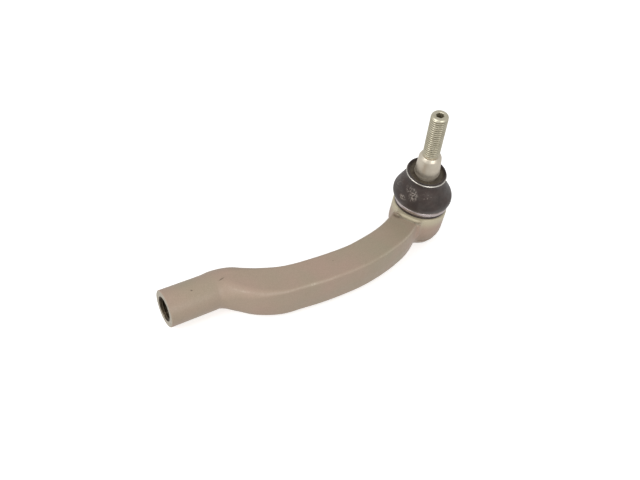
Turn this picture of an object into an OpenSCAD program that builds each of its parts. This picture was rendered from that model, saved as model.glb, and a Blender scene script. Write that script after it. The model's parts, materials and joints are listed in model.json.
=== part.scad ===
// Outer tie rod end: forged swan-neck arm, threaded boss for the inner rod,
// and a spring-loaded ball joint under a rubber dust boot.
// Millimetres. The ball centre is the origin, +Z is the socket axis towards the
// stud, and the threaded boss points along -X.

/* [Arm and boss] */
// Distance from the ball centre to the boss end face
arm_length = 208.4; // [190:0.2:230]
// Sideways offset of the boss axis from the ball centre
boss_offset = 1; // [-3:0.5:4]
// Outer diameter of the boss
boss_d = 24.7; // [22:0.1:28]
// Length of the straight, round part of the boss
boss_len = 34; // [28:1:40]
// Bore of the rod thread, at the crests of the internal thread
rod_bore_d = 14.4; // [12:0.1:16]
// Depth of the threaded bore
rod_bore_len = 44; // [30:1:50]
// Countersink diameter at the mouth of the bore
rod_mouth_d = 16.8; // [15:0.1:20]
// Depth of the drill point behind the thread
drill_point_len = 4; // [2:0.5:6]
// Height of the forging plane below the ball centre
arm_drop = 8.75; // [6:0.25:11]
// Thickness of the arm, square to the forging plane
arm_t = 23.6; // [20:0.2:24]
// Edge radius of the arm section
arm_edge_r = 4.6; // [3:0.2:7]

/* [Socket] */
// Outer diameter of the round socket
socket_d = 42; // [41.5:0.5:48]
// Top edge of the socket shoulder above the ball centre
shoulder_z = 5.7; // [5:0.1:6.2]
// Top face of the socket neck, inside the boot
neck_top_z = 10.2; // [9.5:0.1:10.6]
// Outer diameter of the neck that carries the boot
boot_seat_d = 34; // [33:0.5:35]
// Lower face of the socket
socket_bottom_z = -22; // [-24:0.5:-21]
// Inner diameter of the bearing cavity
cavity_d = 30.4; // [30:0.1:31]
// Width of the flat step block where the arm meets the shoulder
step_w = 21; // [14:0.5:22]
// Distance from the ball centre to the face of the step block
step_reach = 22.2; // [21.5:0.1:24]

/* [Ball stud] */
// Ball diameter
ball_d = 27; // [26:0.1:27]
// Diameter of the stud neck above the ball
neck_d = 13.8; // [12:0.1:14]
// Diameter of the seat that the boot seals on
seal_d = 15.2; // [14:0.1:16]
// Height of the underside of the taper above the ball centre
taper_z = 41.4; // [41:0.1:43]
// Large diameter of the taper
taper_d1 = 18.5; // [17.6:0.1:20]
// Small diameter of the taper
taper_d2 = 16; // [14.6:0.1:17]
// Length of the taper
taper_len = 16.4; // [12:0.2:18]
// Major diameter of the stud thread
stud_thread_d = 12; // [10:0.5:14]
// Length of the stud thread
stud_thread_len = 35; // [24:0.2:40]
// Hex socket in the tip, across flats
hex_af = 5; // [4:0.5:7]
// Depth of the hex socket
hex_depth = 6; // [3:0.5:9]
// Lean of the stud at rest about X, degrees
lean_x = 5; // [-10:1:10]
// Lean of the stud at rest about Y, degrees
lean_y = -11; // [-12:1:12]

/* [Bearing and cover] */
// Running clearance between the ball and its bearing, on the radius
ball_clearance = 0.04; // [0.02:0.01:0.1]
// Clearance between the bearing and its cavity, on the radius
bearing_clearance = 0.05; // [0.02:0.01:0.15]
// Thickness of the preload spring sheet
spring_t = 0.9; // [0.6:0.1:1.1]
// Thickness of the cover plate
cover_t = 2.4; // [1.8:0.1:2.8]
// Diameter of the cover plate
cover_d = 33; // [32.5:0.1:34]

/* [Boot and rings] */
// Wall thickness of the boot
boot_wall = 2; // [1.6:0.1:2.2]
// Largest outer diameter of the boot
boot_d = 44.6; // [43.6:0.2:46]
// Diameter of the wire of the upper ring
upper_wire_d = 1.2; // [1:0.1:1.4]
// Height of the lower band
lower_band_h = 2.9; // [2:0.1:3.2]
// Thickness of the lower band
lower_band_t = 0.9; // [0.6:0.1:1]

/* [Hidden] */

$fn = 96;
eps = 0.01;
paint = [0.66, 0.60, 0.52];
steel = [0.74, 0.74, 0.72];
plastic = [0.86, 0.84, 0.76];
rubber = [0.18, 0.16, 0.15];

arm_z = -arm_drop;
boss_r = boss_d / 2;
socket_r = socket_d / 2;
ball_r = ball_d / 2;
cavity_r = cavity_d / 2;
boot_seat_r = boot_seat_d / 2;

bearing_top = 7.3;      // top face of the bearing, just under the socket ceiling
bearing_bottom = -15.2; // lower face of the bearing
bearing_split = 0.3;    // gap between the two halves at the equator
cover_top = -17.1;      // shoulder that the cover plate bears on
cover_bottom = cover_top - cover_t;
opening_r = sqrt(pow(ball_r + ball_clearance, 2) - pow(bearing_top, 2)) + 0.1;
opening_top_r = opening_r + 1.9;
rolled_lip_r = 13.6;    // inner radius of the rolled lip below the cover plate

taper_top = taper_z + taper_len;
relief_len = 1.8;
relief_r = 5;
tip_chamfer = 1.3;
stud_tip = taper_top + relief_len + stud_thread_len;

seal_clearance = 0.2;
ring_z = 40.2;          // height of the upper ring
ring_r = 14.35;         // radius of its wire centre
ring_tilt = [2.1, 6.1]; // tilt of the ring against the stud, about X and Y
belly_shift = 0.7;      // how far the belly hangs out on the pressed side
band_z = shoulder_z + 2.4;
band_r = boot_seat_r + 2.8;

// Centreline of the arm in the forging plane: [x, y, width, thickness, edge radius].
arm_path = [
    [-182, boss_offset, boss_d - 1.2, boss_d - 1.2, boss_r - 1.6],
    [-173, boss_offset, boss_d - 0.4, boss_d - 0.8, boss_r - 1.6],
    [-165, -1.5, 26.3, 23.5, 9.4],
    [-158, -6.8, 26.0, 23.5, 8.0],
    [-149, -13.2, 26.8, arm_t, 6.4],
    [-137, -18.6, 25.5, arm_t, arm_edge_r],
    [-124, -20.9, 24.4, arm_t, arm_edge_r],
    [-110, -22.4, 24.7, arm_t, arm_edge_r],
    [-95, -23.2, 24.6, arm_t, arm_edge_r],
    [-77, -23.1, 24.4, arm_t, arm_edge_r],
    [-60, -20.9, 24.4, arm_t, arm_edge_r],
    [-45, -17.7, 24.1, arm_t, arm_edge_r],
    [-32, -13.4, 24.0, arm_t, arm_edge_r],
    [-20, -7.3, 23.1, arm_t, arm_edge_r],
    [-11, -2.1, 22.0, arm_t, arm_edge_r]];
path_steps = 3;         // smooth stations between two path points
corner_steps = 4;       // facets on each rounded edge
// Angle at which the arm runs into the socket
arm_angle = 29.5;
// Sideways offset of the step block from the ball centre
step_shift = 1.2;

// Catmull-Rom value between p1 and p2
function blend4(p0, p1, p2, p3, t) =
    0.5 * ((2 * p1) + (p2 - p0) * t + (2 * p0 - 5 * p1 + 4 * p2 - p3) * t * t
           + (3 * p1 - p0 - 3 * p2 + p3) * t * t * t);

function path_at(i, t) =
    let (n = len(arm_path) - 1)
    blend4(arm_path[max(i - 1, 0)], arm_path[i], arm_path[min(i + 1, n)],
           arm_path[min(i + 2, n)], t);

arm_stations = concat(
    [for (i = [0 : len(arm_path) - 2]) for (k = [0 : path_steps - 1]) path_at(i, k / path_steps)],
    [arm_path[len(arm_path) - 1]]);

// Rounded rectangle, counter-clockwise, in [across, up]
function rounded_rect(w, t, r) =
    [for (q = [0 : 3]) for (k = [0 : corner_steps])
        let (a = 90 * (q + k / corner_steps),
             cx = (q == 0 || q == 3 ? 1 : -1) * (w / 2 - r),
             cy = (q < 2 ? 1 : -1) * (t / 2 - r))
        [cx + r * cos(a), cy + r * sin(a)]];

function heading(i) =
    let (n = len(arm_stations) - 1,
         a = arm_stations[max(i - 1, 0)],
         b = arm_stations[min(i + 1, n)])
    atan2(b[1] - a[1], b[0] - a[0]);

function arm_ring(i) =
    let (s = arm_stations[i], h = heading(i))
    [for (p = rounded_rect(s[2], s[3], s[4]))
        [s[0] - p[0] * sin(h), s[1] + p[0] * cos(h), arm_z + p[1]]];

// Closed skin over rings of equal length, capped at both ends
module skin(rings) {
    m = len(rings[0]);
    n = len(rings);
    points = [for (ring = rings) for (p = ring) p];
    sides = [for (i = [0 : n - 2]) for (k = [0 : m - 1])
        let (a = i * m + k, b = i * m + (k + 1) % m) [a, b, b + m, a + m]];
    first = [[for (k = [m - 1 : -1 : 0]) k]];
    last = [[for (k = [0 : m - 1]) (n - 1) * m + k]];
    polyhedron(points, concat(sides, first, last), convexity = 6);
}

module arm_sweep() {
    skin([for (i = [0 : len(arm_stations) - 1])
        let (ring = arm_ring(i)) [for (k = [len(ring) - 1 : -1 : 0]) ring[k]]]);
}

module socket_outer() {
    rotate_extrude()
        polygon([
            [0, socket_bottom_z], [16.2, socket_bottom_z], [17.4, socket_bottom_z + 0.9],
            [18.8, socket_bottom_z + 3.2], [20, socket_bottom_z + 6.2],
            [20.7, socket_bottom_z + 9], [socket_r, socket_bottom_z + 12],
            [socket_r, shoulder_z - 1.5], [socket_r - 1.5, shoulder_z],
            [boot_seat_r, shoulder_z], [boot_seat_r, neck_top_z - 0.8],
            [boot_seat_r - 0.8, neck_top_z], [0, neck_top_z]]);
}

module socket_cavity() {
    rotate_extrude()
        polygon([
            [0, socket_bottom_z - 1], [rolled_lip_r, socket_bottom_z - 1],
            [rolled_lip_r, socket_bottom_z], [rolled_lip_r + 0.6, cover_bottom - 0.05],
            [cover_d / 2 + 0.05, cover_bottom - 0.05], [cover_d / 2 + 0.05, cover_top],
            [cavity_r, cover_top], [cavity_r, bearing_top + 0.1],
            [opening_r, bearing_top + 0.1], [opening_top_r, neck_top_z],
            [opening_top_r, neck_top_z + 1], [0, neck_top_z + 1]]);
}

module boss_solid() {
    translate([-arm_length, boss_offset, arm_z]) rotate([0, 90, 0])
        rotate_extrude()
            polygon([
                [0, 0], [boss_r - 0.8, 0], [boss_r, 0.8], [boss_r, boss_len - 4],
                [boss_r - 1.2, boss_len], [0, boss_len]]);
}

module rod_bore() {
    translate([-arm_length, boss_offset, arm_z]) rotate([0, 90, 0]) {
        translate([0, 0, -1]) cylinder(d = rod_bore_d, h = rod_bore_len + 1);
        translate([0, 0, rod_bore_len - eps])
            cylinder(d1 = rod_bore_d, d2 = 1, h = drill_point_len);
        translate([0, 0, -eps])
            cylinder(d1 = rod_mouth_d, d2 = rod_bore_d, h = (rod_mouth_d - rod_bore_d) / 2);
    }
}

module step_block() {
    rotate([0, 0, arm_angle])
        translate([-step_reach, step_shift - step_w / 2, arm_z])
            cube([10, step_w, shoulder_z - 0.3 - arm_z]);
}

module forged_arm() {
    color(paint)
        difference() {
            union() {
                arm_sweep();
                socket_outer();
                boss_solid();
                step_block();
            }
            socket_cavity();
            rod_bore();
        }
}

// Turns a piece drawn upright into the stud's rest position
module leaned() {
    rotate([lean_x, 0, 0]) rotate([0, lean_y, 0]) children();
}

module stud_profile() {
    neck_r = neck_d / 2;
    union() {
        difference() {
            circle(r = ball_r);
            translate([-2 * ball_r, -ball_r]) square([2 * ball_r, 2 * ball_r]);
            translate([0, -ball_r - eps]) square([ball_r, 0.5]);
        }
        polygon([
            [0, 0], [neck_r, 0], [neck_r, 32], [seal_d / 2, 33.8],
            [seal_d / 2, taper_z - 0.6], [taper_d1 / 2 - 1.3, taper_z - 0.4],
            [taper_d1 / 2 - 0.4, taper_z + 0.1], [taper_d1 / 2, taper_z + 1],
            [taper_d2 / 2, taper_top - 1.2], [taper_d2 / 2 - 1.5, taper_top + 1.1],
            [relief_r, taper_top + 1.2], [relief_r, taper_top + relief_len - 0.3],
            [stud_thread_d / 2, taper_top + relief_len],
            [stud_thread_d / 2, stud_tip - tip_chamfer],
            [stud_thread_d / 2 - tip_chamfer, stud_tip], [0, stud_tip]]);
    }
}

module ball_stud() {
    color(steel)
        leaned()
            difference() {
                rotate_extrude() stud_profile();
                translate([0, 0, stud_tip - hex_depth])
                    cylinder(d = hex_af / cos(30), h = hex_depth + 1, $fn = 6);
            }
}

// Half of the bearing between two heights, bored to the ball
module bearing_half(z0, z1) {
    difference() {
        translate([0, 0, z0]) cylinder(r = cavity_r - bearing_clearance, h = z1 - z0);
        sphere(r = ball_r + ball_clearance);
    }
}

module upper_bearing() {
    color(plastic) bearing_half(bearing_split / 2, bearing_top);
}

module lower_bearing() {
    color(plastic)
        difference() {
            bearing_half(bearing_bottom, -bearing_split / 2);
            translate([0, 0, bearing_bottom - 1]) cylinder(r = 4.5, h = 8);
        }
}

module preload_spring() {
    gap = bearing_bottom - cover_top;
    color(steel)
        rotate_extrude()
            polygon([
                [7, bearing_bottom - 0.05], [7, bearing_bottom - spring_t - 0.05],
                [14, cover_top + 0.05], [14, cover_top + spring_t + 0.05]]);
}

module cover_plate() {
    color(steel)
        rotate_extrude()
            polygon([
                [0, cover_top], [cover_d / 2, cover_top], [cover_d / 2, cover_bottom],
                [11, cover_bottom], [9.6, cover_bottom - 0.8], [0, cover_bottom - 0.8]]);
}

// Boot section [radius, height], from the lower bead up the outside and back down the inside
groove_r = ring_r - upper_wire_d / 2 - 0.25;
groove_h = upper_wire_d / 2 + 0.2;
boot_section = [
    [band_r - 0.1, shoulder_z + 0.2], [band_r - 0.1, band_z + lower_band_h + 0.1],
    [band_r + 1.4, 12.2], [boot_d / 2 - 0.6, 14.4], [boot_d / 2, 17.5],
    [boot_d / 2 - 0.35, 21], [boot_d / 2 - 1.9, 24.5], [boot_d / 2 - 3.7, 28],
    [boot_d / 2 - 5.4, 31.5], [15.1, 34.8], [14.2, 37.2], [14.1, ring_z - groove_h - 0.3],
    [groove_r, ring_z - groove_h], [groove_r, ring_z + groove_h], [14.4, ring_z + groove_h + 0.3],
    [14.3, 41.9], [13.4, 41.9], [12.4, 40], [9.8, 38.9], [seal_d / 2 + seal_clearance, 38.6],
    [seal_d / 2 + seal_clearance, 35.2], [9.6, 34.8], [11.7, 35.2], [12.9, 34.2],
    [boot_d / 2 - 5.4 - boot_wall, 31], [boot_d / 2 - 3.7 - boot_wall, 27.6],
    [boot_d / 2 - 1.9 - boot_wall, 24.1], [boot_d / 2 - 0.4 - boot_wall, 20.7],
    [boot_d / 2 - 0.1 - boot_wall, 17.6], [boot_d / 2 - 0.9 - boot_wall, 15],
    [boot_seat_r + 0.6, 12.8], [boot_seat_r + 0.25, 11.4], [boot_seat_r + 0.25, shoulder_z + 0.2]];
boot_sides = 64;

function smooth(a, b, v) = let (t = min(max((v - a) / (b - a), 0), 1)) t * t * (3 - 2 * t);

// How much of the stud's lean the boot has taken up at a height
function lean_share(z) = 1 - pow(1 - min(max((z - 11.1) / 22, 0), 1), 2.2);

// A point of the section turned to an angle, then tilted, shifted and leaned
function boot_point(r, h, a) =
    let (slope = smooth(14, 38, h),
         x0 = r * cos(a), y0 = r * sin(a),
         z0 = h + slope * (y0 * sin(ring_tilt[0]) - x0 * sin(ring_tilt[1])),
         x1 = x0 - belly_shift * max(sin((h - 11.1) * 6), 0) * smooth(9, 14, r),
         ay = lean_y * lean_share(h), ax = lean_x * lean_share(h),
         x = x1 * cos(ay) + z0 * sin(ay), z = z0 * cos(ay) - x1 * sin(ay))
    [x, y0 * cos(ax) - z * sin(ax), y0 * sin(ax) + z * cos(ax)];

module dust_boot() {
    m = len(boot_section);
    points = [for (k = [0 : boot_sides - 1]) for (s = boot_section)
        boot_point(s[0], s[1], 360 * k / boot_sides)];
    faces = [for (k = [0 : boot_sides - 1]) for (j = [0 : m - 1])
        let (n = (k + 1) % boot_sides, i = (j + 1) % m) [k * m + j, k * m + i, n * m + i, n * m + j]];
    color(rubber) polyhedron(points, faces, convexity = 8);
}

module lower_band() {
    color(steel)
        translate([0, 0, band_z])
            difference() {
                cylinder(r = band_r + lower_band_t, h = lower_band_h);
                translate([0, 0, -1]) cylinder(r = band_r, h = lower_band_h + 2);
            }
}

module upper_ring() {
    color(steel)
        leaned()
            translate([0, 0, ring_z]) rotate([ring_tilt[0], ring_tilt[1], 0])
                rotate_extrude() translate([ring_r, 0]) circle(d = upper_wire_d, $fn = 24);
}

forged_arm();
ball_stud();
upper_bearing();
lower_bearing();
preload_spring();
cover_plate();
dust_boot();
lower_band();
upper_ring();
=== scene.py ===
"""Looks of the outer tie rod end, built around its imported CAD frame.

The shapes are worked out in millimetres in the CAD frame (ball centre at the origin, +Z along the
socket axis, the threaded boss towards -X) and turned into metres when a mesh is made.
"""

import json
import math

import bmesh
import bpy
import numpy as np
import openvdb
from mathutils import Euler, Matrix, Vector


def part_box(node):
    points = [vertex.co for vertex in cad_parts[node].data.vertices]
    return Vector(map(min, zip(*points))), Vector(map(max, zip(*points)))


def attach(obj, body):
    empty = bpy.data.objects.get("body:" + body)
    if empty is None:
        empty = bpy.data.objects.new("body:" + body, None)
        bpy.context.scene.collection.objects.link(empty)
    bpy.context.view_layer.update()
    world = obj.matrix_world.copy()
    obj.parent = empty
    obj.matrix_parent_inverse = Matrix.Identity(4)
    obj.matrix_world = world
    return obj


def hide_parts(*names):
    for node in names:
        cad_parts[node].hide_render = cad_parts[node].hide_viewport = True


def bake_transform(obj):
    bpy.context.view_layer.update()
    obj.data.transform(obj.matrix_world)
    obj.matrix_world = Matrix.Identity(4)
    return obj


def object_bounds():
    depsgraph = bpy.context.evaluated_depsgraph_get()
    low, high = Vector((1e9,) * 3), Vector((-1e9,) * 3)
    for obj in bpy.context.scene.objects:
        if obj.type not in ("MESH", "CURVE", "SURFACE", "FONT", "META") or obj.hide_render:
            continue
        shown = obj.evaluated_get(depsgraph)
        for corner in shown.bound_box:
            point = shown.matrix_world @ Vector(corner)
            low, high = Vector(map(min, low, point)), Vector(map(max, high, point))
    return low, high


MM = 0.001
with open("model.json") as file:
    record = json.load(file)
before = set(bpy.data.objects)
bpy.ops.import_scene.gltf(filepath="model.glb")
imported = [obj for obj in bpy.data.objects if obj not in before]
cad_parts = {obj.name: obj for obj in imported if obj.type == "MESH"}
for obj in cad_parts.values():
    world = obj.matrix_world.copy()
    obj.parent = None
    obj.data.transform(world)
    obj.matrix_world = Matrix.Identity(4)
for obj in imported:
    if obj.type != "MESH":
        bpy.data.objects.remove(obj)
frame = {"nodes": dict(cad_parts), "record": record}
cad_low, cad_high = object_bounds()
mounts = {m["name"]: m for m in frame["record"]["mounts"]}


# ---------------------------------------------------------------- sizes from the frame, in mm

def box_mm(node):
    low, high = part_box(node)
    return np.array(low) / MM, np.array(high) / MM


ARM_LOW, ARM_HIGH = box_mm("forged_arm")
BOSS_FACE = ARM_LOW[0]
BOSS_Y = mounts["rod_thread"]["pos_m"][1] / MM
ARM_Z = mounts["rod_thread"]["pos_m"][2] / MM
SOCKET_BOTTOM = ARM_LOW[2]
NECK_TOP = ARM_HIGH[2]
SOCKET_R = ARM_HIGH[0]
BOSS_R = 12.35
ARM_T = 23.6
ARM_TOP = ARM_Z + ARM_T / 2

STUD_AXIS = Vector(mounts["stud_thread"]["axis"])
LEAN_Y = math.asin(STUD_AXIS.x)
LEAN_X = math.atan2(-STUD_AXIS.y, STUD_AXIS.z)
LEAN = Matrix.Rotation(LEAN_X, 4, "X") @ Matrix.Rotation(LEAN_Y, 4, "Y")

SHOULDER_Z = 5.7
BOOT_SEAT_R = 17.0
BAND_R = BOOT_SEAT_R + 2.8
BAND_LOW, BAND_HIGH = (v[2] for v in box_mm("lower_band"))
COVER_LOW, COVER_HIGH = (v[2] for v in box_mm("cover_plate"))
COVER_R = box_mm("cover_plate")[1][0]
BALL_R = 13.5
NECK_R = 6.9
SEAL_R = 7.6
TAPER_Z = 41.4
TAPER_TOP = 57.8
TAPER_R1, TAPER_R2 = 9.25, 8.0
THREAD_R = mounts["stud_thread"]["dims"]["r_mm"]
THREAD_PITCH = 1.75
STUD_TIP = 94.6
TIP_LEN, TIP_DROP = 2.1, 1.75
HEX_ACROSS = 5.0
HEX_CORNER = HEX_ACROSS / 2 / math.cos(math.pi / 6)
ROD_BORE_R = mounts["rod_thread"]["dims"]["r_mm"]
ROD_PITCH = 1.5
ROD_MOUTH_R = 8.4
ROD_BORE_LEN = 44.0
RING_Z, RING_R, RING_WIRE = 40.2, 14.35, 0.6
RING_SLOPE = (-0.107, 0.036)
BEAD_TOP = BAND_HIGH + 0.1


# ---------------------------------------------------------------- mesh helpers

def make_object(name, points, faces, place=None):
    """A mesh object from points in mm; repeated points are merged."""
    mesh = bpy.data.meshes.new(name)
    mesh.from_pydata((np.asarray(points, float) * MM).tolist(), [], faces)
    bm = bmesh.new()
    bm.from_mesh(mesh)
    bmesh.ops.remove_doubles(bm, verts=bm.verts, dist=1e-6)
    bmesh.ops.dissolve_degenerate(bm, dist=1e-7, edges=bm.edges)
    bmesh.ops.recalc_face_normals(bm, faces=bm.faces)
    bm.to_mesh(mesh)
    bm.free()
    mesh.update()
    piece = bpy.data.objects.new(name, mesh)
    bpy.context.scene.collection.objects.link(piece)
    if place is not None:
        piece.matrix_world = place
    return piece


def soften(piece, angle=32):
    """Smooth shading with sharp edges only where faces meet steeply."""
    mesh = piece.data
    mesh.polygons.foreach_set("use_smooth", [True] * len(mesh.polygons))
    mesh.set_sharp_from_angle(angle=math.radians(angle))
    mesh.update()
    return piece


def finish_piece(piece, body, slot, *materials, replaces=()):
    """Materials and body of a finished piece; slot is not used."""
    for m in materials:
        piece.data.materials.append(m)
    if replaces:
        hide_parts(*replaces)
    if body:
        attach(piece, body)
    return piece


def ring_faces(rings, sides, closed):
    """Quads between neighbouring rings of a swept or turned grid."""
    last = rings if closed else rings - 1
    return [
        (
            i * sides + k,
            i * sides + (k + 1) % sides,
            (i + 1) % rings * sides + (k + 1) % sides,
            (i + 1) % rings * sides + k,
        )
        for i in range(last)
        for k in range(sides)
    ]


def turned(profile, sides=128, closed=False):
    """Points and faces of a profile [(radius, height)] turned about Z.
    A radius may be an array of one radius for each side."""
    angles = np.arange(sides) * 2 * math.pi / sides
    rings = []
    for radius, height in profile:
        r = np.broadcast_to(np.asarray(radius, float), (sides,))
        rings.append(np.stack([r * np.cos(angles), r * np.sin(angles), np.full(sides, height)], 1))
    return np.concatenate(rings), ring_faces(len(profile), sides, closed)


def rounded(profile, radius, steps=5, closed=False):
    """The profile with each corner replaced by a small curve. radius is one number or one a corner."""
    points = [np.array(p, float) for p in profile]
    radii = [radius] * len(points) if np.isscalar(radius) else list(radius)
    made = []
    for i, p in enumerate(points):
        first_or_last = i in (0, len(points) - 1)
        if radii[i] <= 0 or (first_or_last and not closed):
            made.append(tuple(p))
            continue
        before, after = points[i - 1], points[(i + 1) % len(points)]
        cut_in = min(radii[i], np.linalg.norm(before - p) * 0.48)
        cut_out = min(radii[i], np.linalg.norm(after - p) * 0.48)
        a = p + (before - p) / np.linalg.norm(before - p) * cut_in
        b = p + (after - p) / np.linalg.norm(after - p) * cut_out
        for t in np.linspace(0, 1, steps):
            made.append(tuple((1 - t) ** 2 * a + 2 * t * (1 - t) * p + t * t * b))
    return made


def thread_share(heights, angles, pitch):
    """How deep the thread groove is, 0 at the crests and 1 at the roots, for one turn's angles."""
    phase = (heights / pitch - angles / (2 * math.pi)) % 1.0
    from_crest = np.abs(phase - 0.5) * 2
    return np.clip((from_crest - 0.14) / 0.64, 0, 1)


def carve(piece, cutters):
    """Cuts the cutters' shapes out of the piece and removes them."""
    for cutter in cutters:
        step = piece.modifiers.new("cut", "BOOLEAN")
        step.operation = "DIFFERENCE"
        step.solver = "MANIFOLD"
        step.object = cutter
    bpy.context.view_layer.update()
    carved = piece.evaluated_get(bpy.context.evaluated_depsgraph_get())
    mesh = bpy.data.meshes.new_from_object(carved)
    mesh.name = piece.name
    mesh.materials.clear()
    piece.modifiers.clear()
    piece.data = mesh
    for cutter in cutters:
        bpy.data.objects.remove(cutter)
    return piece


def read_points(items, key):
    """One coordinate of every vertex or face of a mesh, in mm."""
    points = np.zeros(len(items) * 3)
    items.foreach_get(key, points)
    return points.reshape(-1, 3) / MM


def store(mesh, name, values):
    """Keeps one number a vertex, for a material to read."""
    layer = mesh.attributes.new(name, "FLOAT", "POINT")
    layer.data.foreach_set("value", np.asarray(values, np.float32))


def smoothstep(low, high, value):
    t = np.clip((value - low) / (high - low), 0, 1)
    return t * t * (3 - 2 * t)


# ---------------------------------------------------------------- materials

def srgb(r, g, b):
    """Linear colour of a display colour given as 0 to 255."""
    shares = [v / 255 for v in (r, g, b)]
    return tuple(((v + 0.055) / 1.055) ** 2.4 if v > 0.04 else v / 12.92 for v in shares) + (1.0,)


class Nodes:
    """A node tree under construction: each call adds one node and returns its output."""

    def __init__(self, tree):
        self.tree = tree

    def node(self, kind, **settings):
        made = self.tree.nodes.new(kind)
        for key, value in settings.items():
            setattr(made, key, value)
        return made

    def feed(self, socket, value):
        if isinstance(value, bpy.types.NodeSocket):
            self.tree.links.new(value, socket)
        else:
            socket.default_value = value

    def span(self, value, from_low, from_high, to_low=0.0, to_high=1.0, smooth=False):
        n = self.node("ShaderNodeMapRange", interpolation_type="SMOOTHSTEP" if smooth else "LINEAR")
        for index, v in enumerate((value, from_low, from_high, to_low, to_high)):
            self.feed(n.inputs[index], v)
        return n.outputs[0]

    def calc(self, kind, a, b=0.0, clamp=False):
        n = self.node("ShaderNodeMath", operation=kind, use_clamp=clamp)
        self.feed(n.inputs[0], a)
        self.feed(n.inputs[1], b)
        return n.outputs[0]

    def split(self, vector):
        """The three parts of a vector."""
        n = self.node("ShaderNodeSeparateXYZ")
        self.feed(n.inputs[0], vector)
        return n.outputs


class Look(Nodes):
    """A material under construction, with its textures placed in object coordinates."""

    def __init__(self, name):
        self.material = bpy.data.materials.new(name)
        self.material.use_nodes = True
        super().__init__(self.material.node_tree)
        self.tree.nodes.clear()
        self.shader = self.node("ShaderNodeBsdfPrincipled")
        out = self.node("ShaderNodeOutputMaterial")
        self.feed(out.inputs[0], self.shader.outputs[0])
        self.place = self.node("ShaderNodeTexCoord").outputs["Object"]

    def set(self, **sockets):
        """Constants and links of the shader's own sockets; spaces in names are written as _."""
        for key, value in sockets.items():
            self.feed(self.shader.inputs[key.replace("_", " ")], value)

    def noise(self, scale, detail=3.0, roughness=0.55, distortion=0.0, place=None):
        n = self.node("ShaderNodeTexNoise")
        self.feed(n.inputs["Vector"], place or self.place)
        self.feed(n.inputs["Scale"], scale)
        self.feed(n.inputs["Detail"], detail)
        self.feed(n.inputs["Roughness"], roughness)
        self.feed(n.inputs["Distortion"], distortion)
        return n.outputs[0]

    def mix(self, share, a, b):
        n = self.node("ShaderNodeMix", data_type="RGBA")
        self.feed(n.inputs["Factor"], share)
        self.feed(n.inputs[6], a)
        self.feed(n.inputs[7], b)
        return n.outputs[2]

    def moved(self, centre, turn=0, stretch=(1, 1, 1)):
        """Object coordinates around a centre in mm, turned about Z in degrees and divided by
        stretch in mm."""
        shift = self.node("ShaderNodeVectorMath", operation="SUBTRACT")
        self.feed(shift.inputs[0], self.place)
        self.feed(shift.inputs[1], tuple(c * MM for c in centre))
        n = self.node("ShaderNodeMapping", vector_type="TEXTURE")
        self.feed(n.inputs["Vector"], shift.outputs[0])
        self.feed(n.inputs["Rotation"], (0, 0, math.radians(turn)))
        self.feed(n.inputs["Scale"], tuple(s * MM for s in stretch))
        return n.outputs[0]

    def spot(self, centre, turn, size, edge):
        """1 inside an ellipsoid of those half sizes in mm, falling to 0 at its edge."""
        n = self.node("ShaderNodeVectorMath", operation="LENGTH")
        self.feed(n.inputs[0], self.moved(centre, turn, size))
        return self.span(n.outputs["Value"], 1.0 - edge, 1.0 + edge, 1.0, 0.0, smooth=True)

    def attribute(self, name):
        return self.node("ShaderNodeAttribute", attribute_name=name).outputs["Fac"]

    def bump(self, height, strength, distance_mm, under=None):
        n = self.node("ShaderNodeBump")
        self.feed(n.inputs["Height"], height)
        self.feed(n.inputs["Strength"], strength)
        self.feed(n.inputs["Distance"], distance_mm * MM)
        if under is not None:
            self.feed(n.inputs["Normal"], under)
        return n.outputs[0]


PAINT = srgb(165, 146, 127)
PAINT_OLIVE = srgb(160, 148, 127)
PAINT_ROSE = srgb(171, 147, 131)
PAINT_CREAM_AND_LIGHT = srgb(196, 187, 160)
PAINT_SCUFF_AND_HIGHLIGHT = srgb(222, 212, 192)
PAINT_DARK_MARK_AND_SHADE = srgb(82, 68, 54)


# Small dark scratches and specks on the paint: centre in mm, turn in degrees, half sizes in mm.
DARK_MARKS = [
    ((-170.8, -2.0, 3.4), 12, (1.9, 0.35, 1.0)),
    ((-191.4, -2.2, 3.2), -30, (0.7, 0.4, 1.0)),
    ((-96.0, -20.0, 3.0), 40, (0.5, 0.25, 1.0)),
    ((-60.0, 4.0, -14.0), 0, (0.6, 1.0, 0.5)),
]


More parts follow.
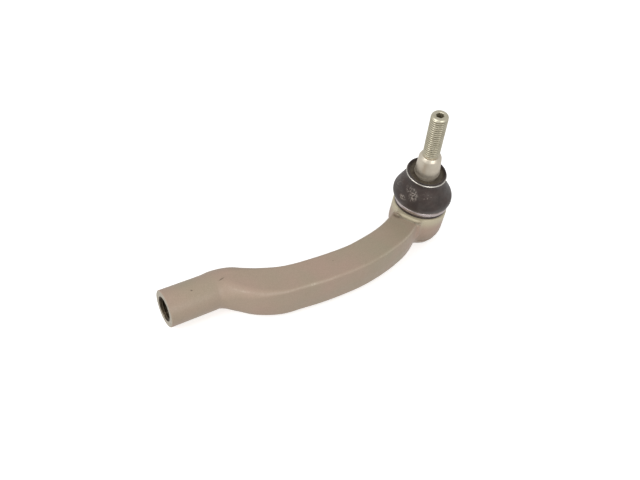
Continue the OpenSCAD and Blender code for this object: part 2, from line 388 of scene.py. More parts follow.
def forging_paint():
    """Greige satin paint over a shot-blasted forging, with rubbed edges under a painted highlight line,
    a socket top that is partly a creamier coat and partly painted light, painted shade in the step line
    and low on the socket, and small dark marks.
    """
    look = Look("forging_paint")
    drift = look.span(look.noise(22, 2.0), 0.38, 0.62)
    patch = look.span(look.noise(60, 4.0, 0.6), 0.42, 0.66)
    colour = look.mix(drift, PAINT_OLIVE, PAINT_ROSE)
    colour = look.mix(look.calc("MULTIPLY", patch, 0.55), colour, PAINT)
    speckle = look.span(look.noise(1400, 2.0), 0.35, 0.68, -0.05, 0.07)
    # The socket's top made paler and creamier: partly a creamier coat, partly painted light where the
    # top faces up.
    colour = look.mix(look.attribute("collar_cream_and_light"), colour, PAINT_CREAM_AND_LIGHT)
    bright = look.node("ShaderNodeHueSaturation")
    look.feed(bright.inputs["Value"], look.calc("ADD", speckle, 1.0))
    look.feed(bright.inputs["Color"], colour)
    colour = bright.outputs[0]

    rub_noise = look.span(look.noise(520, 4.0, 0.7), 0.49, 0.6, smooth=True)
    rub_runs = look.span(look.noise(65, 2.0), 0.44, 0.62, 0.35, 1.0, smooth=True)
    rub = look.calc("MULTIPLY", look.attribute("crease"), look.calc("MULTIPLY", rub_noise, rub_runs))
    # line: a painted highlight along the top edges, strongest on the near one; rub: worn paint in spots.
    line = look.calc("MULTIPLY", look.attribute("crease"), 0.26)
    scuffs_and_highlight = look.calc("MAXIMUM", rub, line)
    colour = look.mix(look.calc("MINIMUM", scuffs_and_highlight, 0.9), colour, PAINT_SCUFF_AND_HIGHLIGHT)

    # Painted shade in the step line, its pits, the groove under the socket and low on the socket, broken
    # up by noise.
    shade_breakup = look.span(look.noise(500, 3.0), 0.2, 0.7, 0.55, 1.0)
    painted_shade = look.calc("MULTIPLY", look.attribute("painted_shade"), shade_breakup)
    colour = look.mix(look.calc("MULTIPLY", painted_shade, 0.75), colour, PAINT_DARK_MARK_AND_SHADE)

    for centre, turn, size in DARK_MARKS:
        mark = look.calc("MULTIPLY", look.spot(centre, turn, size, 0.5), 0.75)
        colour = look.mix(mark, colour, PAINT_DARK_MARK_AND_SHADE)

    skin = look.noise(260, 4.0, 0.6)
    grit = look.noise(2400, 2.0)
    normal = look.bump(look.noise(55, 2.0), 0.35, 0.5)
    normal = look.bump(skin, 0.22, 0.16, normal)
    normal = look.bump(grit, 0.22, 0.05, normal)
    look.set(
        Base_Color=colour,
        Roughness=look.span(look.noise(300, 3.0), 0.3, 0.7, 0.40, 0.54),
        Normal=normal,
        Metallic=0.0,
        IOR=1.5,
        Coat_Weight=0.12,
        Coat_Roughness=0.28,
    )
    return look


def turned_face_paint():
    """The boss's turned end face under a thin coat of the same paint."""
    look = Look("turned_face_paint")
    radius = look.node("ShaderNodeVectorMath", operation="LENGTH")
    look.feed(radius.inputs[0], look.moved((BOSS_FACE, BOSS_Y, ARM_Z)))
    rings = look.noise(1.0, 4.0, 0.7, place=ring_vector(look, radius.outputs["Value"], 1.6))
    cloud = look.span(look.noise(500, 3.0), 0.35, 0.65)
    colour = look.mix(cloud, srgb(186, 177, 160), srgb(168, 158, 140))
    look.set(
        Base_Color=colour,
        Roughness=look.span(rings, 0.3, 0.7, 0.34, 0.48),
        Normal=look.bump(rings, 0.25, 0.05),
        Metallic=0.15,
    )
    return look


def ring_vector(look, radius, lines_per_unit):
    """A vector that changes only with the radius, so that noise on it becomes turning rings."""
    n = look.node("ShaderNodeCombineXYZ")
    look.feed(n.inputs[0], look.calc("MULTIPLY", radius, lines_per_unit))
    return n.outputs[0]


# Plain metals: two tones, cloud noise and its spread, how metallic, grain noise, roughness from
# and to, bump noise, bump strength and bump depth in mm.
METALS = {
    "cut_thread_steel": (
        (104, 92, 74), (62, 53, 42), (240, 3.0), (0.35, 0.7), 0.75,
        (900, 2.0), (0.30, 0.48), (1800, 2.0), 0.2, 0.03),
    "bare_socket_steel": (
        (150, 146, 138), (120, 115, 106), (200, 3.0), (0.3, 0.7), 0.9,
        (700, 3.0), (0.32, 0.5), (1500, 2.0), 0.15, 0.03),
    "band_steel": (
        (216, 205, 204), (190, 177, 176), (180, 4.0, 0.6), (0.35, 0.68), 0.95,
        (600, 3.0), (0.24, 0.40), (900, 2.0), 0.12, 0.04),
    "wire_steel": (
        (238, 234, 226), (214, 208, 198), (260, 3.0), (0.35, 0.68), 0.95,
        (800, 2.0), (0.22, 0.36), (1200, 2.0), 0.1, 0.02),
    "spring_steel": (
        (122, 124, 132), (92, 90, 94), (220, 4.0, 0.6), (0.35, 0.66), 0.9,
        (700, 3.0), (0.3, 0.46), (1000, 2.0), 0.15, 0.03),
}


def plain_metal(name):
    """One of METALS: clouded tones, a grainy roughness and a fine bump."""
    tone, other_tone, cloud, spread, metallic, grain, rough, relief, strength, depth = METALS[name]
    look = Look(name)
    look.set(
        Base_Color=look.mix(look.span(look.noise(*cloud), *spread), srgb(*tone), srgb(*other_tone)),
        Metallic=metallic,
        Roughness=look.span(look.noise(*grain), 0.3, 0.7, *rough),
        Normal=look.bump(look.noise(*relief), strength, depth),
    )
    return look


def stud_steel():
    """Satin ground steel: fine turning lines, a dusty foot to the taper, and darker thread roots and hex
    socket.
    """
    look = Look("stud_steel")
    x, y, z = look.split(look.place)
    lines = look.node("ShaderNodeCombineXYZ")
    look.feed(lines.inputs[0], look.calc("MULTIPLY", x, 30.0))
    look.feed(lines.inputs[1], look.calc("MULTIPLY", y, 30.0))
    look.feed(lines.inputs[2], look.calc("MULTIPLY", z, 5200.0))
    turning = look.noise(1.0, 2.0, 0.6, place=lines.outputs[0])
    cloud = look.span(look.noise(150, 4.0, 0.6), 0.35, 0.68)
    colour = look.mix(cloud, srgb(226, 217, 200), srgb(214, 203, 186))
    thread = look.span(z, (TAPER_TOP + 0.5) * MM, (TAPER_TOP + 3) * MM, smooth=True)
    colour = look.mix(thread, colour, look.mix(cloud, srgb(222, 216, 196), srgb(200, 193, 170)))
    # Darker in the thread roots and inside the hex socket.
    groove = look.attribute("groove")
    root_darkening = look.calc("MULTIPLY", groove, look.span(look.noise(380, 3.0), 0.3, 0.65, 0.35, 0.9))
    colour = look.mix(root_darkening, colour, srgb(112, 104, 84))
    foot = look.span(z, (TAPER_Z + 0.2) * MM, (TAPER_Z + 3.4) * MM, 1.0, 0.0, smooth=True)
    foot = look.calc("MULTIPLY", foot, look.span(look.noise(320, 4.0, 0.65), 0.3, 0.62, 0.25, 1.0))
    colour = look.mix(look.calc("MULTIPLY", foot, 0.35), colour, srgb(146, 134, 116))
    satin = look.span(turning, 0.3, 0.7, 0.34, 0.46)
    look.set(
        Base_Color=colour,
        Metallic=look.calc("SUBTRACT", 0.88, look.calc("MULTIPLY", foot, 0.5)),
        Roughness=look.calc("ADD", satin, look.calc("MULTIPLY", foot, 0.2)),
        Normal=look.bump(turning, 0.12, 0.02),
    )
    return look


RUBBER = srgb(59, 44, 39)
RUBBER_DARK = srgb(44, 33, 29)
RUBBER_DUST_AND_SHEEN = srgb(166, 156, 146)


# Rubbed, dusty places on the boot, some of them a painted grey sheen: centre in mm, turn in degrees,
# half sizes in mm, noise threshold.
RUBS_AND_SHEEN = [
    ((-21.8, -9.6, 26.6), 20, (3.0, 2.8, 4.0), 0.44),
    ((-22.4, -6.0, 30.2), 20, (3.0, 3.4, 2.4), 0.47),
    ((-24.9, -2.8, 21.6), 5, (2.5, 2.6, 1.6), 0.42),
    ((-15.0, -16.5, 29.2), 40, (3.0, 4.0, 2.6), 0.55),
    ((-20.5, 8.0, 29.0), -25, (4.0, 5.0, 6.0), 0.53),
    ((4.6, -15.5, 30.0), 15, (5.0, 3.5, 5.0), 0.58),
    ((-6.0, 20.0, 22.0), 20, (7.0, 4.0, 5.0), 0.58),
]


def boot_rubber():
    """Warm black moulded rubber with a grey bloom, light grey places that are partly dusty rubs and
    partly painted sheen, and a lower fold lightened partly by scuffs and partly by a painted highlight
    on its ridge.
    """
    look = Look("boot_rubber")
    cloud = look.span(look.noise(120, 4.0, 0.6), 0.36, 0.66)
    colour = look.mix(cloud, RUBBER_DARK, RUBBER)
    bloom = look.calc("MULTIPLY", look.span(look.noise(190, 5.0, 0.65), 0.46, 0.72), 0.35)
    colour = look.mix(bloom, colour, srgb(88, 84, 78))

    streak = look.noise(620, 6.0, 0.72)
    # Light grey places: dust on rubbed spots, and painted grey sheen at the left edge and the right
    # shoulder.
    dust_and_sheen = None
    for centre, turn, size, low in RUBS_AND_SHEEN:
        dusty = look.span(streak, low, low + 0.16, smooth=True)
        spot = look.calc("MULTIPLY", look.spot(centre, turn, size, 0.5), dusty)
        dust_and_sheen = spot if dust_and_sheen is None else look.calc("MAXIMUM", dust_and_sheen, spot)
    colour = look.mix(look.calc("MULTIPLY", dust_and_sheen, 0.85), colour, RUBBER_DUST_AND_SHEEN)

    # The lower fold lightened: partly scuffs, partly a painted highlight on the ridge above the band.
    fold = look.attribute("fold")
    scuffs_and_ridge_highlight = look.span(look.noise(260, 4.0, 0.6), 0.34, 0.6, 0.25, 0.95)
    colour = look.mix(look.calc("MULTIPLY", fold, scuffs_and_ridge_highlight), colour, srgb(164, 148, 140))
    dish = look.attribute("dish")
    greasy = look.span(look.noise(200, 3.0), 0.3, 0.6, 0.35, 0.8)
    colour = look.mix(look.calc("MULTIPLY", dish, greasy), colour, srgb(104, 94, 76))

    normal = look.bump(look.noise(170, 3.0), 0.25, 0.35)
    normal = look.bump(look.noise(1500, 3.0), 0.25, 0.05, normal)
    rough = look.span(look.noise(240, 3.0), 0.3, 0.7, 0.42, 0.58)
    look.set(
        Base_Color=colour,
        Roughness=look.calc("ADD", rough, look.calc("MULTIPLY", dust_and_sheen, 0.2)),
        Normal=normal,
        Specular_IOR_Level=0.5,
        Sheen_Weight=0.12,
        Sheen_Roughness=0.5,
    )
    return look


def cover_steel():
    """Pressed cover plate: zinc-grey with a dull, mottled skin."""
    look = Look("cover_steel")
    cloud = look.span(look.noise(240, 5.0, 0.65), 0.35, 0.66)
    spots = look.span(look.noise(900, 2.0), 0.62, 0.7, smooth=True)
    colour = look.mix(cloud, srgb(168, 166, 160), srgb(140, 136, 128))
    colour = look.mix(look.calc("MULTIPLY", spots, 0.4), colour, srgb(104, 94, 80))
    look.set(
        Base_Color=colour,
        Metallic=0.85,
        Roughness=look.span(look.noise(500, 3.0), 0.3, 0.7, 0.34, 0.52),
        Normal=look.bump(look.noise(600, 3.0), 0.2, 0.06),
    )
    return look


def bearing_plastic():
    """Milky moulded plastic of the ball seat."""
    look = Look("bearing_plastic")
    cloud = look.span(look.noise(140, 3.0), 0.3, 0.7)
    look.set(
        Base_Color=look.mix(cloud, srgb(226, 222, 206), srgb(210, 204, 184)),
        Roughness=look.span(look.noise(600, 3.0), 0.3, 0.7, 0.36, 0.5),
        Normal=look.bump(look.noise(900, 2.0), 0.15, 0.04),
        Subsurface_Weight=0.08,
        Subsurface_Scale=0.002,
    )
    return look


# ---------------------------------------------------------------- forged arm

EDGE_R = 4.6

# Centreline in the forging plane: x, y, width, thickness, edge radius; the first point lies
# beyond the boss face, which a cutter trims.
ARM_PATH = np.array([
    [-230, BOSS_Y, 24.7, 24.7, BOSS_R],
    [-216, BOSS_Y, 24.7, 24.7, BOSS_R],
    [-182, BOSS_Y, 24.7, 24.7, BOSS_R],
    [-173, 1.2, 25.4, 24.6, 12.1],
    [-165, -1.5, 26.5, 24.0, 10.4],
    [-158, -6.8, 26.0, 23.6, 8.0],
    [-149, -13.2, 26.8, ARM_T, 6.4],
    [-137, -18.6, 25.5, ARM_T, EDGE_R],
    [-124, -20.9, 24.4, ARM_T, EDGE_R],
    [-110, -22.4, 24.7, ARM_T, EDGE_R],
    [-95, -23.2, 24.6, ARM_T, EDGE_R],
    [-77, -23.1, 24.4, ARM_T, EDGE_R],
    [-60, -20.9, 24.4, ARM_T, EDGE_R],
    [-45, -17.7, 24.1, ARM_T, EDGE_R],
    [-32, -13.4, 24.0, ARM_T, EDGE_R],
    [-20, -7.3, 23.1, ARM_T, EDGE_R],
    [-11, -2.1, 22.0, ARM_T, EDGE_R],
])
ARM_ANGLE = math.radians(29.5)
STEP_REACH, STEP_W, STEP_SHIFT = 22.2, 21.0, 1.2
TOP_EDGE_CUT = 2.4
SIDE_DRAFT, NEAR_DRAFT = 0.035, 0.12
VOXEL = 0.5

# How worn the arm's near top edge is and how bright its painted highlight line is, along X.
EDGE_WEAR_AND_HIGHLIGHT = [(-172, 0.3), (-166, 0.8), (-158, 0.2), (-142, 0.1), (-125, 0.5), (-107, 0.6), (-98, 0.25),
             (-88, 0.45), (-64, 0.3), (-53, 0.8), (-44, 0.65), (-30, 1.0)]

# Hollows left at the two ends of the step line: centre and half sizes along, across and up.
STEP_PITS = [
    ((-STEP_REACH - 0.2, 10.2, ARM_TOP + 0.4), (1.8, 3.0, 1.3)),
    ((-STEP_REACH - 0.2, -8.8, ARM_TOP + 0.4), (1.6, 2.4, 1.2)),
]


def arm_stations(steps=10):
    """The centreline as a dense smooth curve through ARM_PATH."""
    made = []
    last = len(ARM_PATH) - 1
    for i in range(last):
        p0, p1 = ARM_PATH[max(i - 1, 0)], ARM_PATH[i]
        p2, p3 = ARM_PATH[i + 1], ARM_PATH[min(i + 2, last)]
        for t in np.arange(steps) / steps:
            made.append(0.5 * (2 * p1 + (p2 - p0) * t + (2 * p0 - 5 * p1 + 4 * p2 - p3) * t * t
                               + (3 * p1 - p0 - 3 * p2 + p3) * t ** 3))
    made.append(ARM_PATH[last])
    return np.array(made)


STATIONS = arm_stations()


def along_arm(x, y):
    """For points in the forging plane: signed offset from the centreline (+ to the left, towards +Y)
    and the section's width, thickness and edge radius there."""
    shape = x.shape
    x, y = x.ravel(), y.ravel()
    best = np.full(x.shape, 1e9)
    offset = np.zeros_like(x)
    section = np.zeros((len(x), 3))
    for a, b in zip(STATIONS[:-1], STATIONS[1:]):
        d = b[:2] - a[:2]
        t = np.clip(((x - a[0]) * d[0] + (y - a[1]) * d[1]) / (d @ d), 0, 1)
        dx, dy = x - a[0] - t * d[0], y - a[1] - t * d[1]
        distance = np.hypot(dx, dy)
        nearer = distance < best
        best[nearer] = distance[nearer]
        side = np.sign(d[0] * dy - d[1] * dx)
        offset[nearer] = (distance * side)[nearer]
        section[nearer] = (a[2:] + t[:, None] * (b - a)[2:])[nearer]
    return offset.reshape(shape), section.reshape(shape + (3,))


def smooth_min(a, b, k):
    """Union of two fields with a fillet of about k."""
    h = np.clip(0.5 + 0.5 * (b - a) / k, 0, 1)
    return b + (a - b) * h - k * h * (1 - h)


def outline_distance(r, z, outline):
    """Signed distance to a closed outline [(r, z)], negative inside."""
    best = np.full(r.shape, 1e9)
    inside = np.zeros(r.shape, bool)
    for (r0, z0), (r1, z1) in zip(outline, outline[1:] + outline[:1]):
        dr, dz = r1 - r0, z1 - z0
        t = np.clip(((r - r0) * dr + (z - z0) * dz) / (dr * dr + dz * dz), 0, 1)
        best = np.minimum(best, np.hypot(r - r0 - t * dr, z - z0 - t * dz))
        crosses = ((z0 > z) != (z1 > z)) & (r < (z - z0) / (dz if dz else 1e-9) * dr + r0)
        inside ^= crosses
    return np.where(inside, -best, best)


SOCKET_OUTLINE = [
    (-5, SOCKET_BOTTOM), (15.8, SOCKET_BOTTOM), (17.2, SOCKET_BOTTOM + 0.8), (18.0, SOCKET_BOTTOM + 2.4),
    (18.8, SOCKET_BOTTOM + 3.3), (19.3, SOCKET_BOTTOM + 4.6), (19.4, SOCKET_BOTTOM + 5.2),
    (18.7, SOCKET_BOTTOM + 5.6), (18.8, SOCKET_BOTTOM + 6.2), (20.1, SOCKET_BOTTOM + 6.5),
    (20.8, SOCKET_BOTTOM + 9.6), (SOCKET_R, SOCKET_BOTTOM + 12), (SOCKET_R, SHOULDER_Z - 1.2),
    (SOCKET_R - 1.2, SHOULDER_Z), (BOOT_SEAT_R, SHOULDER_Z), (BOOT_SEAT_R, NECK_TOP), (-5, NECK_TOP),
]


def arm_section(offset, section, height):
    """Distance to the arm's section: a rounded box, its edges tighter on top, its sides with draft."""
    half_w, half_t, edge = section[..., 0] / 2, section[..., 1] / 2, section[..., 2]
    flat = np.clip((BOSS_R - edge) / (BOSS_R - EDGE_R), 0, 1)
    edge = np.where(height > 0, edge - TOP_EDGE_CUT * flat, edge)
    draft = np.where((offset < 0) & (height > 0), NEAR_DRAFT, SIDE_DRAFT)
    across = np.abs(offset) - (half_w - flat * draft * np.abs(height)) + edge
    up = np.abs(height) - half_t + edge
    outside = np.hypot(np.maximum(across, 0), np.maximum(up, 0))
    return outside + np.minimum(np.maximum(across, up), 0) - edge


def step_frame(x, y):
    """Coordinates along the arm's direction at the socket and across it, from the ball centre."""
    c, s = math.cos(ARM_ANGLE), math.sin(ARM_ANGLE)
    return x * c + y * s, -x * s + y * c


def forging_field():
    """Signed distance field of the whole forging on a voxel grid: field and its lowest corner."""
    low = np.array([BOSS_FACE - 5, ARM_LOW[1] - 4, SOCKET_BOTTOM - 3])
    high = np.array([SOCKET_R + 4, SOCKET_R + 4, NECK_TOP + 3])
    xs, ys, zs = (np.arange(a, b, VOXEL) for a, b in zip(low, high))
    offset, section = along_arm(*np.meshgrid(xs, ys, indexing="ij"))
    height = (zs - ARM_Z)[None, None, :]
    field = arm_section(offset[..., None], section[:, :, None, :], height)

    near = xs > -30
    x, y, z = np.meshgrid(xs[near], ys, zs, indexing="ij")
    radius = np.hypot(x, y)
    socket = outline_distance(radius, z, SOCKET_OUTLINE)
    along, across = step_frame(x, y)
    block = np.maximum(-STEP_REACH - along, along + 10)
    block = np.maximum(np.abs(across - STEP_SHIFT) - STEP_W / 2, block)
    plan = smooth_min(radius - SOCKET_R, block, 2.0)
    shoulder = -smooth_min(-plan, -np.maximum(z - SHOULDER_Z, ARM_Z - z), 1.2)
    arm = field[near]
    fillet = 0.45 + 3.4 * smoothstep(2.6, -3.5, z)
    joined = smooth_min(arm, np.minimum(socket, shoulder), fillet)
    for centre, half in STEP_PITS:
        pit = np.sqrt(sum(((v - c) / h) ** 2 for v, c, h in zip((along, across, z), centre, half)))
        joined = -smooth_min(-joined, (pit - 1) * min(half), 0.5)
    field[near] = joined
    return soft_field(field), low


def step_line_cutter():
    """A thin groove with a V section where the step block meets the arm's top face."""
    c, s = math.cos(ARM_ANGLE), math.sin(ARM_ANGLE)
    points = []
    for across, grow in ((-9.0, 0.2), (-7.5, 1.0), (0.0, 0.85), (7.0, 1.0), (9.5, 1.2), (11.6, 0.3)):
        for da, dz in ((-0.75, 0), (0, -0.6), (0.6, 0), (0, 0.75)):
            along = -STEP_REACH - 0.1 + da * grow
            points.append((along * c - across * s, along * s + across * c, ARM_TOP + 0.1 + dz * grow))
    faces = ring_faces(6, 4, closed=False) + [(3, 2, 1, 0), (20, 21, 22, 23)]
    return make_object("step_line_cutter", points, faces)


def soft_field(field):
    """One pass of a 1-2-1 filter along each axis, which rounds the edges slightly."""
    for axis in range(3):
        inner = [slice(None)] * 3
        before, after = list(inner), list(inner)
        inner[axis], before[axis], after[axis] = slice(1, -1), slice(0, -2), slice(2, None)
        blurred = field.copy()
        ends = field[tuple(before)] + field[tuple(after)]
        blurred[tuple(inner)] = (ends + 2 * field[tuple(inner)]) / 4
        field = blurred
    return field


def boss_place():
    """Turns a cutter made about Z to the boss's axis, from its face inwards."""
    shift = Matrix.Translation(Vector((BOSS_FACE, BOSS_Y, ARM_Z)) * MM)
    return shift @ Matrix.Rotation(math.pi / 2, 4, "Y")


def rod_thread_cutter():
    """Everything removed at the boss: the trim beyond the face, the mouth, the thread and
    the drill point."""
    sides = 96
    angles = np.arange(sides) * 2 * math.pi / sides
    profile = [(0.0, -12.0), (20.0, -12.0), (20.0, 0.0), (ROD_MOUTH_R, 0.0)]
    thread_depth = 0.5413 * ROD_PITCH
    for height in np.arange(0.1, ROD_BORE_LEN, ROD_PITCH / 12):
        groove = 1 - thread_share(height, angles, ROD_PITCH)
        fade = smoothstep(ROD_BORE_LEN - 1, ROD_BORE_LEN - 4, height)
        radius = ROD_BORE_R + thread_depth * groove * fade
        profile.append((np.maximum(radius, ROD_MOUTH_R - height), height))
    profile += [(ROD_BORE_R, ROD_BORE_LEN), (0.0, ROD_BORE_LEN + 4)]
    points, faces = turned(profile, sides)
    return make_object("rod_thread_cutter", points, faces, boss_place())


def boss_chamfer_cutter():
    """A ring with a sloping inside, for the chamfer around the boss's face."""
    profile = [(BOSS_R - 0.9, -0.6), (BOSS_R + 3, -0.6), (BOSS_R + 3, 3.3)]
    points, faces = turned(profile, 128, closed=True)
    return make_object("boss_chamfer_cutter", points, faces, boss_place())


def socket_cutter():
    """The bearing cavity, the cover's shoulder, the rolled lip's opening and the top opening."""
    shoulder, cavity_r, cavity_top = COVER_LOW + 0.75, 15.2, 7.4
    profile = [
        (0, SOCKET_BOTTOM - 3), (13.9, SOCKET_BOTTOM - 3), (13.6, SOCKET_BOTTOM + 0.6),
        (14.2, shoulder), (COVER_R + 0.05, shoulder), (COVER_R + 0.05, COVER_HIGH),
        (cavity_r, COVER_HIGH), (cavity_r, cavity_top), (11.5, cavity_top), (13.4, NECK_TOP),
        (13.4, NECK_TOP + 3), (0, NECK_TOP + 3),
    ]
    points, faces = turned(profile, 128)
    return make_object("socket_cutter", points, faces)


PAINTED, TURNED, CUT_THREAD, BARE = range(4)


def sort_arm_faces(mesh):
    """Gives each face of the arm the finish of the place where it lies."""
    centres = read_points(mesh.polygons, "center")
    from_boss_axis = np.hypot(centres[:, 1] - BOSS_Y, centres[:, 2] - ARM_Z)
    from_ball_axis = np.hypot(centres[:, 0], centres[:, 1])
    at_face = centres[:, 0] < BOSS_FACE + 0.02
    beside_bore = centres[:, 0] < BOSS_FACE + ROD_BORE_LEN + 5
    finish = np.full(len(centres), PAINTED)
    finish[at_face & (from_boss_axis > ROD_MOUTH_R - 0.2)] = TURNED
    finish[beside_bore & (from_boss_axis < ROD_MOUTH_R)] = CUT_THREAD
    finish[(from_ball_axis < COVER_R + 0.1) & (centres[:, 2] > SOCKET_BOTTOM + 0.3)] = BARE
    mesh.polygons.foreach_set("material_index", finish)


def store_edge_wear_and_highlight(mesh, points):
    """crease: how rubbed the paint is along the arm's two top edges, and how bright a painted highlight
    along them is, the near one most.
    """
    offset, section = along_arm(points[:, 0], points[:, 1])
    width, thickness, edge = section.T
    edge_r = edge - TOP_EDGE_CUT
    near = offset < 0
    edge_across = np.abs(offset) - width / 2 + 0.29 * edge_r + np.where(near, 1.3, 0.4)
    edge_up = points[:, 2] - ARM_Z - thickness / 2 + 0.29 * edge_r
    on_edge = np.exp(-(edge_across ** 2 + edge_up ** 2) / 0.7 ** 2)
    flat_part = smoothstep(10.0, 5.0, edge)
    before_socket = smoothstep(21.8, 23.2, np.hypot(points[:, 0], points[:, 1]))
    wear_and_highlight = np.interp(points[:, 0], *zip(*EDGE_WEAR_AND_HIGHLIGHT)) * np.where(near, 1.0, 0.4)
    store(mesh, "crease", on_edge * flat_part * before_socket * wear_and_highlight)


def store_socket_light_and_shade(mesh, points):
    """The socket's top paler and creamier, partly a creamier coat and partly painted light on the top
    that faces up; and painted shade in the step line, its pits, the groove under the socket and on the
    socket's lower side."""
    x, y, z = points.T
    radius = np.hypot(x, y)
    # Paler socket top: partly a creamier coat, partly painted light, fading down the wall.
    store(mesh, "collar_cream_and_light", 0.85 * smoothstep(24.0, 22.4, radius) * smoothstep(-5, 4.5, z))
    along, across = step_frame(x, y)
    # Painted shade along the step line's groove, in its end pits, in the groove under the socket, and
    # darker towards the socket's bottom.
    line = 0.8 * np.exp(-((along + STEP_REACH) ** 2 + (z - ARM_TOP) ** 2) / 0.9 ** 2)
    line *= smoothstep(STEP_W / 2 + 1.5, STEP_W / 2, np.abs(across - STEP_SHIFT))
    pits = 0
    for centre, half in STEP_PITS:
        reach = sum(((v - c) / h) ** 2 for v, c, h in zip((along, across, z), centre, half))
        pits = pits + 1.3 * np.exp(-reach)
    from_groove = (radius - 19.2) ** 2 + (z - SOCKET_BOTTOM - 5.9) ** 2
    under = 0.8 * np.exp(-from_groove / 0.6 ** 2)
    low_side = 0.32 * smoothstep(-6.0, -13.5, z) * smoothstep(24.5, 22.0, radius)
    store(mesh, "painted_shade", np.clip(line + pits + under + low_side, 0, 1))


def build_arm():
    """The whole forging: a skin around its field, machined by cutters."""
    field, low = forging_field()
    reach = 3 * VOXEL
    grid = openvdb.FloatGrid(background=reach)
    grid.copyFromArray(np.clip(field, -reach, reach))
    points, quads = grid.convertToQuads(isovalue=0.0)
    arm = make_object("forged_arm_body", points * VOXEL + low, quads.tolist())
    carve(arm, [rod_thread_cutter(), boss_chamfer_cutter(), socket_cutter(), step_line_cutter()])
    sort_arm_faces(arm.data)
    points = read_points(arm.data.vertices, "co")
    store_edge_wear_and_highlight(arm.data, points)
    store_socket_light_and_shade(arm.data, points)
    soften(arm, 40)
    looks = (forging_paint(), turned_face_paint(), plain_metal("cut_thread_steel"),
             plain_metal("bare_socket_steel"))
    return finish_piece(arm, "socket", "forging_paint", *(look.material for look in looks),
                        replaces=["forged_arm"])


# ---------------------------------------------------------------- ball stud

def build_stud():
    """The stud upright, then leaned: ball, neck, seal seat, taper, relief, thread and rounded tip."""
    sides = 144
    angles = np.arange(sides) * 2 * math.pi / sides
    neck_angle = math.acos(NECK_R / BALL_R)
    ball = [(BALL_R * math.cos(a), BALL_R * math.sin(a)) for a in np.linspace(-1.32, neck_angle, 48)]
    shank = rounded([
        ball[-1], (NECK_R, 31.5), (SEAL_R, 33.6), (SEAL_R, TAPER_Z - 0.6),
        (TAPER_R1 - 1.3, TAPER_Z - 0.4), (TAPER_R1 - 0.4, TAPER_Z), (TAPER_R1, TAPER_Z + 0.9),
        (TAPER_R2, TAPER_TOP - 1.2), (TAPER_R2 - 1.5, TAPER_TOP + 1.1), (5.1, TAPER_TOP + 1.3),
        (5.1, TAPER_TOP + 1.5),
    ], [0, 2.5, 1.0, 0.3, 0.2, 0.4, 0.5, 0.6, 0.35, 0.1, 0])
    profile = [(0, ball[0][1])] + ball[:-1] + shank
    thread_start, thread_end = TAPER_TOP + 1.6, STUD_TIP - 0.05
    depth = 0.6 * THREAD_PITCH
    for height in np.arange(thread_start, thread_end, THREAD_PITCH / 14):
        groove = thread_share(height, angles, THREAD_PITCH)
        start = smoothstep(thread_start - 0.3, thread_start + 1.2, height)
        fade = smoothstep(thread_end - 0.4, thread_end - 2.2, height)
        up_tip = max(0.0, (height - STUD_TIP + TIP_LEN) / TIP_LEN)
        rounding = TIP_DROP * (1 - math.sqrt(max(0.0, 1 - up_tip ** 2)))
        radius = np.minimum(THREAD_R - depth * groove * (0.25 + 0.75 * start) * (0.1 + 0.9 * fade),
                            THREAD_R - rounding)
        radius = np.minimum(radius, 5.0 + (THREAD_R - 5.0) * start)
        profile.append((radius, height))
    profile += [(THREAD_R - TIP_DROP - 0.1, STUD_TIP), (0, STUD_TIP)]
    points, faces = turned(profile, sides)
    stud = make_object("ball_stud_body", points, faces, LEAN)
    carve(stud, [hex_cutter()])

    points = read_points(stud.data.vertices, "co")
    radius = np.hypot(points[:, 0], points[:, 1])
    height = points[:, 2]
    on_thread = smoothstep(thread_start, thread_start + 1, height)
    on_thread *= smoothstep(STUD_TIP - 0.8, STUD_TIP - 2.4, height)
    groove = smoothstep(THREAD_R - 0.15, THREAD_R - depth, radius) * on_thread
    in_hex = (radius < HEX_CORNER + 0.15) & (height < STUD_TIP - 0.8) & (height > STUD_TIP - 8)
    store(stud.data, "groove", np.maximum(groove, in_hex * 1.0))
    soften(stud, 38)
    return finish_piece(stud, "stud", "stud_steel", stud_steel().material, replaces=["ball_stud"])


def hex_cutter():
    """A hexagon with a lead-in cone, for the socket in the tip."""
    profile = [
        (0, STUD_TIP - 6.8), (HEX_CORNER * 0.9, STUD_TIP - 6), (HEX_CORNER, STUD_TIP - 5.8),
        (HEX_CORNER, STUD_TIP - 0.35), (HEX_CORNER + 0.5, STUD_TIP + 0.15),
        (HEX_CORNER + 0.5, STUD_TIP + 2), (0, STUD_TIP + 2),
    ]
    points, faces = turned(profile, 6)
    return make_object("hex_cutter", points, faces, LEAN)


# ---------------------------------------------------------------- dust boot

BOOT_R = 22.3
BOOT_SPLIT = 24.0
BELLY_SHIFT = 0.7

